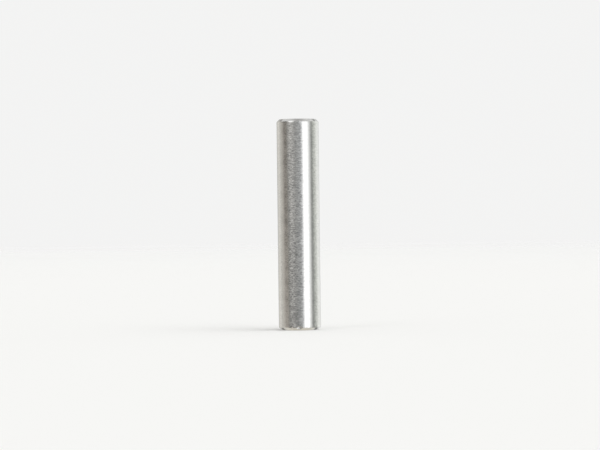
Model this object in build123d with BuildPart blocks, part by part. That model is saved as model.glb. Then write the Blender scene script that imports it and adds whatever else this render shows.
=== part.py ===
from build123d import *

import os

# Cross pin: one solid length of ground steel bar, slid or pressed through a cross-drilled hole.
# Frame: the axis is Z, and the origin is the centre of the end that the pin stands on. Millimetres.

# Driving dimensions.
pin_diameter = 4.0
pin_length = 20.0
# The chamfer round each end: how far it runs along the pin, and how far it cuts in across it.
chamfer_length = 0.25
chamfer_depth = 0.25
# Tumbling leaves each sharp edge slightly round.
edge_radius = 0.06

pin_radius = pin_diameter / 2
end_radius = pin_radius - chamfer_depth
shank_start = chamfer_length
shank_end = pin_length - chamfer_length


# The pin is turned from one half section: end face, chamfer, shank, chamfer, end face.
with BuildPart() as cross_pin:
    with BuildSketch(Plane.XZ) as half_section:
        with BuildLine():
            FilletPolyline(
                (0, 0),
                (end_radius, 0),
                (pin_radius, shank_start),
                (pin_radius, shank_end),
                (end_radius, pin_length),
                (0, pin_length),
                radius=edge_radius,
            )
            Line((0, pin_length), (0, 0))
        make_face()
    revolve(axis=Axis.Z)
cross_pin.part.label = "cross_pin"

os.makedirs("parts", exist_ok=True)
export_step(cross_pin.part, "parts/cross_pin.step")
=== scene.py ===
import math

import bpy
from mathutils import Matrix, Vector, noise


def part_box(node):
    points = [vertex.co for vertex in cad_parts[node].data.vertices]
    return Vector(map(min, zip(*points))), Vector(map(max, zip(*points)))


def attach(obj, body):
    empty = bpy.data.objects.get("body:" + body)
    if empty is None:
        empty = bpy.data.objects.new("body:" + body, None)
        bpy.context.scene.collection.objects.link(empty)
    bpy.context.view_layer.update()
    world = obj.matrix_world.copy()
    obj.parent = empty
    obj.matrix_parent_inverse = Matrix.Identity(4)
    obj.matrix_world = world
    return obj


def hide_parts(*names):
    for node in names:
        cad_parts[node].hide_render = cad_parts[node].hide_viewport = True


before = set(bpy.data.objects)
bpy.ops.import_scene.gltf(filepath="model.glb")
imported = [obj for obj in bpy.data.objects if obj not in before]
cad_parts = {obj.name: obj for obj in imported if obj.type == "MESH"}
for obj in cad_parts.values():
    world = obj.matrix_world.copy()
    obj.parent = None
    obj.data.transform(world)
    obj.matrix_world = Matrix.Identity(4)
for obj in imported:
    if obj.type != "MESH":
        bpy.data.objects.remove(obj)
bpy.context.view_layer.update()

# Everything is in metres unless a name or a comment says otherwise. The pin's axis is Z.
MM = 0.001

# The pin, from the frame. Its ends repeat the chamfer and the edge rounding of the solid.
pin_low, pin_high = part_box("cross_pin")
pin_length = pin_high.z - pin_low.z
pin_radius = min(pin_high.x - pin_low.x, pin_high.y - pin_low.y) / 2
chamfer_length = 0.25 * MM
chamfer_depth = 0.25 * MM
edge_radius = 0.06 * MM
end_radius = pin_radius - chamfer_depth

# Fineness of the pin's mesh: its steps round the pin, its rings on each rounded edge, end face
# and chamfer, and how far apart its rings are near the ends and on the rest of the shank.
turn_steps = 384
edge_steps = 5
face_rings = 9
chamfer_rings = 5
fine_zone = 0.6 * MM
fine_ring = 0.035 * MM
shank_ring = 0.125 * MM

# The map for a bake: how much of its width the side takes, and where the two discs are.
side_share = 0.79
disc_reach = 0.095
disc_middle = 0.90
disc_heights = (0.15, 0.40)

# Nicks in the outer edges: end (-1 is the lower, 1 the upper), degrees round the pin from the
# camera's side, width, height and depth in millimetres.
edge_nicks = [
    (-1, -1.0, 0.50, 0.12, 0.18),
    (-1, -22.5, 0.24, 0.09, 0.045),
    (-1, 21.0, 0.12, 0.08, 0.014),
    (-1, 96.0, 0.22, 0.12, 0.030),
    (-1, 171.0, 0.16, 0.10, 0.020),
    (-1, -118.0, 0.28, 0.13, 0.035),
    (1, -18.3, 0.54, 0.06, 0.026),
    (1, 8.0, 0.18, 0.08, 0.016),
    (1, 61.0, 0.14, 0.09, 0.018),
    (1, 132.0, 0.26, 0.12, 0.030),
    (1, -84.0, 0.15, 0.09, 0.020),
    (1, -149.0, 0.20, 0.11, 0.024),
]
# How uneven the outlines of the nicks are, over what length, and how their depth falls off.
nick_unevenness = 0.3
nick_grain = 0.10 * MM
nick_falloff = 0.75
# The ground surface isn't a perfect cylinder: how deep its waves are, and how long.
wave_depth = 0.0012 * MM
wave_length = 1.1 * MM
# The outer edges waver a little more: how deep, over what length, and how far from the edge.
waver_depth = 0.006 * MM
waver_length = 0.22 * MM
waver_reach = 0.08 * MM

# The grain of the finish, in millimetres round the pin and along it: short marks, a second set of
# marks that leans a few degrees, long fine lines and broad patches. Then the width of the rings
# on the end faces.
mark_grain = (0.19, 0.055)
slant_grain = (0.30, 0.075)
slant_lean = 9
line_grain = (2.4, 0.035)
patch_grain = (0.9, 0.7)
ring_grain = 0.09
# How steeply the marks, lines and rings tilt the surface.
mark_slope = 0.084
slant_slope = 0.047
line_slope = 0.022
ring_slope = 0.16
# How much the others count beside the short marks in what darkens and lightens the steel.
slant_shade = 0.5
patch_shade = 0.4
ring_shade = 0.8
# The ends of the steel's colour and roughness. The noises reach them at this size, either way.
noise_reach = 0.8
dark_steel = (0.59, 0.59, 0.585, 1)
light_steel = (0.73, 0.725, 0.715, 1)
smoothest, roughest = 0.17, 0.27
end_smoothest, end_roughest = 0.28, 0.40
anisotropy = 0.8
# How far from the ends the finish of their faces starts, and where it's full, in millimetres.
face_starts, face_full = 0.02, 0.005

# Scratches on the shank: degrees round the pin, height, length and width in millimetres, how far
# they lean from the axis in degrees, and how steep their walls are.
scratches = [
    (-22.5, 7.25, 0.60, 0.055, 8, 0.80),
    (-15.5, 7.10, 0.32, 0.045, -14, 0.70),
    (-31.0, 13.60, 0.45, 0.030, 62, 0.12),
    (38.0, 4.30, 0.70, 0.035, -35, 0.15),
    (72.0, 12.40, 0.90, 0.035, 20, 0.18),
    (118.0, 6.10, 0.55, 0.045, -48, 0.22),
    (151.0, 15.20, 1.10, 0.030, 12, 0.16),
    (-160.0, 9.40, 0.50, 0.050, 33, 0.24),
    (-127.0, 12.80, 0.80, 0.035, -22, 0.18),
    (-96.0, 4.70, 0.65, 0.040, 55, 0.20),
]
# Where a scratch starts to fade towards its ends and its sides, in shares of its whole length
# and width, counted from its middle. Both fades end at a half.
scratch_end_fade = 0.3
scratch_side_fade = 0.35


def corner_arc(before, corner, after, radius, steps):
    """Points along the arc that rounds the corner of a profile."""
    into = (before - corner).normalized()
    out = (after - corner).normalized()
    half = into.angle(out) / 2
    centre = corner + (into + out).normalized() * (radius / math.sin(half))
    start = corner + into * (radius / math.tan(half)) - centre
    end = corner + out * (radius / math.tan(half)) - centre
    sweep = start.angle(end)
    points = []
    for step in range(steps + 1):
        share = step / steps
        of_start = math.sin((1 - share) * sweep) / math.sin(sweep)
        of_end = math.sin(share * sweep) / math.sin(sweep)
        points.append(centre + start * of_start + end * of_end)
    return points


def spaced(start, end, count):
    """Points between two others, without the first and the last."""
    return [start.lerp(end, step / count) for step in range(1, count)]


def end_profile():
    """Radius and height of the rings from the lower end's centre to where the shank is plain."""
    centre = Vector((0, 0, 0))
    inner = Vector((end_radius, 0, 0))
    outer = Vector((pin_radius, 0, chamfer_length))
    above = Vector((pin_radius, 0, fine_zone))
    inner_arc = corner_arc(centre, inner, outer, edge_radius, edge_steps)
    outer_arc = corner_arc(inner, outer, above, edge_radius, edge_steps)
    points = spaced(centre, inner_arc[0], face_rings)
    points += inner_arc
    points += spaced(inner_arc[-1], outer_arc[0], chamfer_rings)
    points += outer_arc
    fine_count = round((above - outer_arc[-1]).length / fine_ring)
    points += spaced(outer_arc[-1], above, fine_count)
    points.append(above)
    return [(point.x, point.z) for point in points]


def pin_profile():
    """Radius and height of every ring, from the lower end to the upper."""
    lower = end_profile()
    upper = [(radius, pin_length - height) for radius, height in reversed(lower)]
    start, end = lower[-1][1], upper[0][1]
    count = round((end - start) / shank_ring)
    shank = [(pin_radius, start + (end - start) * step / count) for step in range(1, count)]
    return lower + shank + upper


def nick_depth(turn, height):
    """How far the nicks cut in at one place on the pin."""
    place = Vector((turn * pin_radius, height, 0))
    uneven = 1 + nick_unevenness * noise.noise(place / nick_grain)
    depth = 0.0
    for end, degrees, width_mm, height_mm, depth_mm in edge_nicks:
        edge = pin_length / 2 + end * (pin_length / 2 - chamfer_length)
        across = math.remainder(turn - math.radians(degrees), math.tau) * pin_radius
        along = height - edge
        reach = uneven * ((across / (width_mm * MM / 2)) ** 2 + (along / (height_mm * MM)) ** 2)
        if reach < 1:
            depth = max(depth, depth_mm * MM * (1 - reach) ** nick_falloff)
    return depth


def wave(turn, height):
    """How far the surface lies in at one place: its waves, and the waver of the outer edges."""
    place = Vector((math.sin(turn) * pin_radius, -math.cos(turn) * pin_radius, height))
    ground = wave_depth * (0.5 + 0.5 * noise.noise(place / wave_length))
    from_end = min(height, pin_length - height)
    near_edge = math.exp(-(((from_end - chamfer_length) / waver_reach) ** 2))
    ragged = waver_depth * near_edge * (0.5 + 0.5 * noise.noise(place / waver_length))
    return ground + ragged


def lay_out(mesh, profile):
    """The map that a bake uses: the side unrolled, and beside it a disc for each end.

    The faces come ring by ring and then as the fans at the two centres, as make_pin adds them.
    """
    count = len(profile)
    lengths = [0.0]
    for before, after in zip(profile, profile[1:]):
        lengths.append(lengths[-1] + math.dist(before, after))
    first, last = face_rings - 1, count - face_rings
    side_length = lengths[last] - lengths[first]

    def on_side(ring, step):
        return side_share * step / turn_steps, (lengths[ring] - lengths[first]) / side_length

    def on_disc(ring, step, top):
        reach = disc_reach * profile[ring][0] / profile[first][0] if 0 <= ring < count else 0.0
        turn = math.tau * step / turn_steps
        return disc_middle + reach * math.sin(turn), disc_heights[top] + reach * math.cos(turn)

    places = []
    for ring in range(count - 1):
        for step in range(turn_steps):
            for high, ahead in ((0, 0), (0, 1), (1, 1), (1, 0)):
                if first <= ring < last:
                    places += on_side(ring + high, step + ahead)
                else:
                    places += on_disc(ring + high, step + ahead, ring >= last)
    for step in range(turn_steps):
        for ring, ahead in ((-1, 0), (0, 1), (0, 0)):
            places += on_disc(ring, step + ahead, 0)
        for ring, ahead in ((count, 0), (count - 1, 0), (count - 1, 1)):
            places += on_disc(ring, step + ahead, 1)
    mesh.uv_layers.new(name="OFBake").data.foreach_set("uv", places)


def make_pin():
    """The pin as one closed lathed mesh, with its edge nicks and waviness cut in."""
    profile = pin_profile()
    count = len(profile)
    vertices = []
    for index, (radius, height) in enumerate(profile):
        before = Vector(profile[max(index - 1, 0)])
        after = Vector(profile[min(index + 1, count - 1)])
        along = (after - before).normalized()
        outward = Vector((along.y, -along.x))
        for step in range(turn_steps):
            turn = math.tau * step / turn_steps
            depth = nick_depth(turn, height)
            if end_radius < radius:
                depth += wave(turn, height)
            ring = radius - depth * outward.x
            rise = height - depth * outward.y
            vertices.append((ring * math.sin(turn), -ring * math.cos(turn), rise))
    faces = []
    for ring in range(count - 1):
        for step in range(turn_steps):
            ahead = (step + 1) % turn_steps
            low, high = ring * turn_steps, (ring + 1) * turn_steps
            faces.append((low + step, low + ahead, high + ahead, high + step))
    bottom, top = len(vertices), len(vertices) + 1
    vertices += [(0, 0, profile[0][1]), (0, 0, profile[-1][1])]
    last = (count - 1) * turn_steps
    for step in range(turn_steps):
        ahead = (step + 1) % turn_steps
        faces.append((bottom, ahead, step))
        faces.append((top, last + step, last + ahead))
    mesh = bpy.data.meshes.new("ground_pin")
    mesh.from_pydata(vertices, [], faces)
    mesh.validate()
    for face in mesh.polygons:
        face.use_smooth = True
    lay_out(mesh, profile)
    pin = bpy.data.objects.new("ground_pin", mesh)
    bpy.context.scene.collection.objects.link(pin)
    return pin


class Nodes:
    """Short names for adding and joining the nodes of one tree."""

    def __init__(self, owner):
        owner.use_nodes = True
        self.tree = owner.node_tree
        self.tree.nodes.clear()

    def add(self, kind, **settings):
        node = self.tree.nodes.new(kind)
        for name, value in settings.items():
            setattr(node, name, value)
        return node

    def join(self, given, socket):
        """Links an output to the socket, or sets the socket to a plain value."""
        if hasattr(given, "is_output"):
            self.tree.links.new(given, socket)
        else:
            socket.default_value = given

    def fill(self, node, *values):
        """Joins the values to the node's first sockets, in their order."""
        for socket, value in zip(node.inputs, values):
            self.join(value, socket)
        return node

    def shader(self, kind, *values):
        """The output of a shader with the values on its first sockets."""
        return self.fill(self.add(kind), *values).outputs[0]

    def math(self, operation, *values, clamp=False):
        node = self.add("ShaderNodeMath", operation=operation, use_clamp=clamp)
        return self.fill(node, *values).outputs[0]

    def weighted(self, *terms):
        """The sum of some values, each times its weight."""
        total = 0.0
        for value, weight in terms:
            total = self.math("MULTIPLY_ADD", value, weight, total)
        return total

    def vector(self, operation, *values):
        """A step of vector algebra. Lengths and dot products come out as plain values."""
        node = self.fill(self.add("ShaderNodeVectorMath", operation=operation), *values)
        return node.outputs["Value" if operation in ("LENGTH", "DOT_PRODUCT") else "Vector"]

    def scaled(self, vector, factor):
        node = self.fill(self.add("ShaderNodeVectorMath", operation="SCALE"), vector)
        self.join(factor, node.inputs["Scale"])
        return node.outputs[0]

    def split(self, vector):
        return self.fill(self.add("ShaderNodeSeparateXYZ"), vector).outputs

    def between(self, value, low, high, to_low=0.0, to_high=1.0, smooth=True):
        """Maps low to high onto to_low to to_high, and holds the ends."""
        kind = "SMOOTHSTEP" if smooth else "LINEAR"
        node = self.add("ShaderNodeMapRange", interpolation_type=kind)
        return self.fill(node, value, low, high, to_low, to_high).outputs[0]

    def band(self, value, middle, reach, soft):
        """1 within reach of the middle, and 0 from soft beyond it on."""
        low, high = middle - reach, middle + reach
        fall = self.between(value, high, high + soft, 1.0, 0.0)
        return self.math("MULTIPLY", self.between(value, low - soft, low), fall)

    def mix_colour(self, share, first, second):
        node = self.add("ShaderNodeMix", data_type="RGBA")
        self.join(share, node.inputs["Factor"])
        self.join(first, node.inputs[6])
        self.join(second, node.inputs[7])
        return node.outputs[2]

    def ramp(self, value, stops):
        """A colour ramp with its stops at places from 0 to 1."""
        node = self.fill(self.add("ShaderNodeValToRGB"), value)
        elements = node.color_ramp.elements
        while len(elements) < len(stops):
            elements.new(1.0)
        for element, (place, colour) in zip(elements, stops):
            element.position = place
            element.color = (*colour, 1.0)
        return node.outputs[0]


def drawn_noise(nodes, place_mm, round_mm, along_mm, lean_deg=0.0):
    """Noise from about -1 to 1, drawn out round the pin as the marks of grinding are."""
    mapping = nodes.add("ShaderNodeMapping")
    mapping.inputs["Rotation"].default_value = (0, math.radians(lean_deg), 0)
    mapping.inputs["Scale"].default_value = (1 / round_mm, 1 / round_mm, 1 / along_mm)
    nodes.join(place_mm, mapping.inputs["Vector"])
    texture = nodes.add("ShaderNodeTexNoise", normalize=False)
    texture.inputs["Scale"].default_value = 1.0
    texture.inputs["Detail"].default_value = 1.0
    nodes.join(mapping.outputs[0], texture.inputs["Vector"])
    return texture.outputs[0]


def ring_noise(nodes, radius_mm, width_mm):
    """Noise from about -1 to 1 in rings about the pin's axis, as facing leaves on its ends."""
    texture = nodes.add("ShaderNodeTexNoise", noise_dimensions="1D", normalize=False)
    texture.inputs["Scale"].default_value = 1 / width_mm
    texture.inputs["Detail"].default_value = 1.0
    nodes.join(radius_mm, texture.inputs["W"])
    return texture.outputs[0]


def add_scratch(nodes, place_mm, normal, degrees, height, length, width, lean_deg, steepness):
    """The normal with one scratch's two walls added to it."""
    turn, lean = math.radians(degrees), math.radians(lean_deg)
    outward = Vector((math.sin(turn), -math.cos(turn), 0))
    tangent = Vector((math.cos(turn), math.sin(turn), 0))
    along_it = tangent * math.sin(lean) + Vector((0, 0, math.cos(lean)))
    across_it = tangent * math.cos(lean) - Vector((0, 0, math.sin(lean)))
    middle = outward * (pin_radius / MM) + Vector((0, 0, height))
    offset = nodes.vector("SUBTRACT", place_mm, middle)
    along = nodes.math("ABSOLUTE", nodes.vector("DOT_PRODUCT", offset, along_it))
    across = nodes.vector("DOT_PRODUCT", offset, across_it)
    out = nodes.vector("DOT_PRODUCT", offset, outward)
    reach = nodes.between(along, length * scratch_end_fade, length * 0.5, 1.0, 0.0)
    side = nodes.math("ABSOLUTE", across)
    inside = nodes.between(side, width * scratch_side_fade, width * 0.5, 1.0, 0.0)
    # Only this side of the pin is scratched.
    near = nodes.math("GREATER_THAN", out, -length)
    depth = nodes.math("MULTIPLY", nodes.math("MULTIPLY", reach, inside), near)
    slope = nodes.math("MULTIPLY", nodes.math("MULTIPLY", across, 2 * steepness / width), depth)
    return nodes.vector("ADD", normal, nodes.scaled(across_it, slope))


def ground_steel():
    """Ground steel: bright, with short marks and fine lines that run round the pin.

    They tilt the surface up and down along the pin, and hardly at all round it.
    """
    material = bpy.data.materials.new("ground_steel")
    nodes = Nodes(material)
    place_mm = nodes.scaled(nodes.add("ShaderNodeTexCoord").outputs["Object"], 1 / MM)
    from_axis = nodes.vector("MULTIPLY", place_mm, (1, 1, 0))
    outward = nodes.vector("NORMALIZE", from_axis)
    middle = pin_length / MM / 2
    from_middle = nodes.math("ABSOLUTE", nodes.math("SUBTRACT", nodes.split(place_mm)[2], middle))
    on_face = nodes.between(from_middle, middle - face_starts, middle - face_full)

    marks = drawn_noise(nodes, place_mm, *mark_grain)
    slant = drawn_noise(nodes, place_mm, *slant_grain, slant_lean)
    lines = drawn_noise(nodes, place_mm, *line_grain)
    patches = drawn_noise(nodes, place_mm, *patch_grain)
    rings = ring_noise(nodes, nodes.vector("LENGTH", from_axis), ring_grain)
    rings = nodes.math("MULTIPLY", rings, on_face)

    normal = nodes.add("ShaderNodeNewGeometry").outputs["Normal"]
    slope = nodes.weighted((marks, mark_slope), (slant, slant_slope), (lines, line_slope))
    normal = nodes.vector("ADD", normal, nodes.scaled((0, 0, 1), slope))
    face_slope = nodes.math("MULTIPLY", rings, ring_slope)
    normal = nodes.vector("ADD", normal, nodes.scaled(outward, face_slope))
    for scratch in scratches:
        normal = add_scratch(nodes, place_mm, normal, *scratch)

    others = (slant, slant_shade), (patches, patch_shade), (rings, ring_shade)
    shade = nodes.between(nodes.weighted((marks, 1.0), *others), -noise_reach, noise_reach)
    wear = nodes.math("ADD", marks, patches)
    rough_side = nodes.between(wear, -noise_reach, noise_reach, smoothest, roughest)
    rough_end = nodes.between(wear, -noise_reach, noise_reach, end_smoothest, end_roughest)

    # The tangent runs round the pin, as the marks do. The quarter turn draws highlights out
    # along the pin instead.
    tangent = nodes.add("ShaderNodeTangent", direction_type="RADIAL", axis="Z")
    steel = {
        "Base Color": nodes.mix_colour(shade, dark_steel, light_steel),
        "Metallic": 1.0,
        "Roughness": nodes.between(on_face, 0.0, 1.0, rough_side, rough_end, smooth=False),
        "Normal": nodes.vector("NORMALIZE", normal),
        "Tangent": tangent.outputs[0],
        "Anisotropic": anisotropy,
        "Anisotropic Rotation": 0.25,
    }
    shader = nodes.add("ShaderNodeBsdfPrincipled")
    for name, given in steel.items():
        nodes.join(given, shader.inputs[name])
    nodes.fill(nodes.add("ShaderNodeOutputMaterial"), shader.outputs[0])
    return material


# The studio round the pin. The camera sees a plain backdrop behind it. Reflected rays that go
# nearly straight back see it too: none of it at the first share of straight back, and all of it
# at the second.
backdrop_colour = (0.90, 0.90, 0.895, 1)
backdrop_edge = (0.975, 0.99)
# What lies round the pin at its own level: degrees from the camera towards the right, the light
# that comes from there, and the share of it that comes from ring_reach above and below.
ring_reach = 16
room_round = [
    # Straight behind, and a dark strip on its left.
    (-180, (0.95, 0.94, 0.92), 1.0, 1.0),
    (-173, (0.90, 0.88, 0.85), 1.0, 1.0),
    (-168, (0.50, 0.49, 0.47), 1.0, 1.0),
    (-163, (0.50, 0.49, 0.47), 1.0, 1.0),
    # The rear on the left, which gets darker towards the side.
    (-152, (0.78, 0.765, 0.72), 1.0, 1.0),
    (-126, (0.91, 0.885, 0.825), 1.0, 1.0),
    (-112, (0.72, 0.70, 0.65), 0.85, 1.1),
    (-94, (0.59, 0.56, 0.51), 0.4, 1.7),
    # The dark side on the left.
    (-81, (0.264, 0.245, 0.222), 0.0, 3.7),
    (-67, (0.232, 0.216, 0.192), 0.0, 4.0),
    # The front, which is dim.
    (-58, (0.295, 0.29, 0.275), 2.4, 0.4),
    (-46, (0.385, 0.38, 0.365), 2.7, 0.4),
    (-35, (0.43, 0.425, 0.41), 2.45, 0.3),
    (-16, (0.37, 0.37, 0.36), 1.6, 0.5),
    (9, (0.495, 0.505, 0.505), 1.45, 0.5),
    (17, (0.62, 0.625, 0.63), 1.6, 0.4),
    # The soft lamp in front on the right.
    (24, (1.12, 1.13, 1.15), 1.5, 0.4),
    (29, (2.45, 2.45, 2.45), 0.35, 0.6),
    (48, (2.45, 2.45, 2.45), 0.35, 0.6),
    (53, (2.12, 2.13, 2.13), 0.45, 0.75),
    (68, (0.95, 0.96, 0.945), 0.6, 1.0),
    # A dark place beside it.
    (75, (0.545, 0.555, 0.54), 1.0, 1.0),
    (81, (0.31, 0.32, 0.305), 1.2, 0.8),
    (93, (0.59, 0.61, 0.57), 1.5, 0.5),
    # The rear on the right.
    (108, (0.80, 0.82, 0.77), 1.4, 0.6),
    (123, (1.12, 1.14, 1.10), 1.0, 1.0),
    (158, (1.02, 1.03, 1.01), 1.0, 1.0),
    # A dark strip, the narrow lamp behind, and straight behind again.
    (163, (0.50, 0.51, 0.49), 1.0, 1.0),
    (168, (0.50, 0.51, 0.49), 1.0, 1.0),
    (172, (1.40, 1.40, 1.38), 0.6, 1.4),
    (177, (1.40, 1.40, 1.38), 0.6, 1.4),
    (180, (0.95, 0.94, 0.92), 1.0, 1.0),
]
# What lies overhead, at its rim and straight up, and underfoot. The room passes over into them
# between two heights, in degrees, and the rim into what is straight up.
overhead_rim = (0.86, 0.86, 0.85, 1)
overhead_top = (0.53, 0.52, 0.51, 1)
underfoot = (0.885, 0.84, 0.735, 1)
overhead_heights = (25, 50)
overhead_top_heights = (60, 90)
underfoot_heights = (-75, -25)
# Overhead, the front of the room has this share of the light at the back. It changes from one to
# the other between two places from front to back, where -1 is straight in front.
front_share = 0.7
front_fade = (-0.6, 0.0)
# The dark screens behind the pin, on both sides above and below, which edge its chamfers: the
# degrees round and up of their middles, how far they reach to either side and up and down, and
# how much of the light they take. Then how soft their edges are, in degrees.
screens = [
    (-146, 33.5, 12, 3.5, 0.50),
    (-146, -33.0, 12, 3.5, 0.85),
    (146, 34.0, 12, 4.5, 0.57),
    (146, -36.0, 12, 4.5, 0.96),
]
screen_soft = 3
# A small lamp high on the left: degrees round and up, its radius in degrees, its light, and where
# its soft edge starts and ends, in shares of its radius.
high_lamp_round, high_lamp_up, high_lamp_radius = -42, 45, 14
high_lamp_light = (1.6, 1.6, 1.6, 1)
high_lamp_edge = (1.25, 0.75)

# The sun that lights the floor: its strength, how wide it is in degrees, and where it shines.
sun_energy = 1.0
sun_spread = 50
sun_direction = (-0.45, 0.35, -1.0)

# The floor: how far it reaches from the pin to each side, and where it fades into the backdrop.
floor_colour = (0.88, 0.88, 0.875, 1)
floor_reach = 2.0
floor_fade = (0.15, 1.2)

# The camera: its distance from the pin's axis, the width of its picture in pixels, how many of
# them a millimetre takes, its roll in degrees, and how many pixels the pin's middle lies to the
# left of the picture's and above it.
camera_distance = 0.24
picture_width = 600
pixels_per_mm = 10.52
camera_roll = 0.68
pin_left, pin_above = 1.3, 0.5
sensor_width_mm = 36.0


def level_ramp(nodes, around, column):
    """The room's light all round at one level: 0 the pin's own, 1 above it, 2 below it."""
    stops = []
    for angle, colour, *shares in room_round:
        share = (1.0, *shares)[column]
        stops.append((angle / 360 + 0.5, tuple(part * share for part in colour)))
    return nodes.ramp(nodes.math("MULTIPLY_ADD", around, 1 / 360, 0.5), stops)


def room_light(nodes, direction):
    """The light of the room's walls, lamps, top and bottom, by direction."""
    right, back, up = nodes.split(direction)
    front = nodes.math("MULTIPLY", back, -1.0)
    around = nodes.math("DEGREES", nodes.math("ARCTAN2", right, front))
    height = nodes.math("DEGREES", nodes.math("ARCSINE", up))
    own, above, below = (level_ramp(nodes, around, column) for column in range(3))
    rise = nodes.between(height, -ring_reach, ring_reach, -1.0, 1.0)
    fall = nodes.math("MULTIPLY", rise, -1.0)
    level = nodes.mix_colour(nodes.math("MAXIMUM", rise, 0.0), own, above)
    level = nodes.mix_colour(nodes.math("MAXIMUM", fall, 0.0), level, below)
    to_top = nodes.between(height, *overhead_top_heights)
    overhead = nodes.mix_colour(to_top, overhead_rim, overhead_top)
    overhead = nodes.scaled(overhead, nodes.between(back, *front_fade, front_share, 1.0))
    light = nodes.mix_colour(nodes.between(height, *overhead_heights), level, overhead)
    to_bottom = nodes.between(height, *underfoot_heights, 1.0, 0.0)
    light = nodes.mix_colour(to_bottom, light, underfoot)

    turn, lift = math.radians(high_lamp_round), math.radians(high_lamp_up)
    towards = (math.sin(turn) * math.cos(lift), -math.cos(turn) * math.cos(lift), math.sin(lift))
    facing = nodes.vector("DOT_PRODUCT", direction, towards)
    edge = [math.cos(math.radians(high_lamp_radius * share)) for share in high_lamp_edge]
    light = nodes.mix_colour(nodes.between(facing, *edge), light, high_lamp_light)

    strength = 1.0
    for middle_round, middle_up, half_width, half_height, taken in screens:
        width = nodes.band(around, middle_round, half_width, screen_soft)
        reach = nodes.band(height, middle_up, half_height, screen_soft)
        screen = nodes.math("MULTIPLY", nodes.math("MULTIPLY", width, reach), taken)
        strength = nodes.math("SUBTRACT", strength, screen)
    return nodes.shader("ShaderNodeBackground", light, strength)


def make_world():
    """A plain studio that the pin mirrors, and a pale backdrop that the camera sees instead."""
    world = bpy.data.worlds.new("studio")
    bpy.context.scene.world = world
    nodes = Nodes(world)
    direction = nodes.add("ShaderNodeTexCoord").outputs["Generated"]
    studio = room_light(nodes, direction)
    backdrop = nodes.shader("ShaderNodeBackground", backdrop_colour, 1.0)
    rays = nodes.add("ShaderNodeLightPath").outputs
    behind = nodes.between(nodes.split(direction)[1], *backdrop_edge)
    mirrored = nodes.math("ADD", rays["Is Glossy Ray"], rays["Is Transmission Ray"])
    mirrored = nodes.math("MULTIPLY", mirrored, behind)
    seen = nodes.math("ADD", rays["Is Camera Ray"], mirrored, clamp=True)
    mix = nodes.shader("ShaderNodeMixShader", seen, studio, backdrop)
    nodes.fill(nodes.add("ShaderNodeOutputWorld"), mix)


def make_sun():
    """A soft sun high above, a little to the right and in front, that lights the floor evenly."""
    data = bpy.data.lights.new("soft_lamp", "SUN")
    data.energy = sun_energy
    data.angle = math.radians(sun_spread)
    sun = bpy.data.objects.new("soft_lamp", data)
    sun.rotation_mode = "QUATERNION"
    sun.rotation_quaternion = Vector(sun_direction).to_track_quat("-Z", "Y")
    sun.visible_camera = False
    sun.visible_glossy = False
    bpy.context.scene.collection.objects.link(sun)


def make_floor():
    """A plain pale floor that fades into the backdrop far from the pin."""
    corners = [(-1, -1), (1, -1), (1, 1), (-1, 1)]
    corners = [(x * floor_reach, y * floor_reach, 0) for x, y in corners]
    mesh = bpy.data.meshes.new("floor")
    mesh.from_pydata(corners, [], [(0, 1, 2, 3)])
    floor = bpy.data.objects.new("floor", mesh)
    floor.location.z = pin_low.z
    bpy.context.scene.collection.objects.link(floor)
    material = bpy.data.materials.new("pale_floor")
    nodes = Nodes(material)
    distance = nodes.vector("LENGTH", nodes.add("ShaderNodeTexCoord").outputs["Object"])
    fade = nodes.between(distance, *floor_fade)
    matt = nodes.shader("ShaderNodeBsdfDiffuse", floor_colour)
    clear = nodes.shader("ShaderNodeBsdfTransparent")
    mix = nodes.shader("ShaderNodeMixShader", fade, matt, clear)
    nodes.fill(nodes.add("ShaderNodeOutputMaterial"), mix)
    mesh.materials.append(material)
    floor.visible_glossy = False


def make_camera():
    """The camera looks square at the pin's side. Its roll is the pin's lean in the picture."""
    data = bpy.data.cameras.new("camera")
    data.sensor_width = sensor_width_mm
    data.lens = sensor_width_mm * camera_distance / (picture_width / pixels_per_mm * MM)
    data.clip_start = 0.01
    data.clip_end = 10.0
    camera = bpy.data.objects.new("camera", data)
    left, above = (pixels / pixels_per_mm * MM for pixels in (pin_left, pin_above))
    camera.location = (left, -camera_distance, (pin_low.z + pin_high.z) / 2 - above)
    camera.rotation_euler = (math.radians(90), math.radians(camera_roll), 0)
    bpy.context.scene.collection.objects.link(camera)
    bpy.context.scene.camera = camera


make_camera()
make_world()
make_sun()
make_floor()

pin = make_pin()
pin.data.materials.append(ground_steel())
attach(pin, "root")
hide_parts("cross_pin")

bpy.context.scene.view_settings.view_transform = "Standard"

bpy.context.view_layer.update()
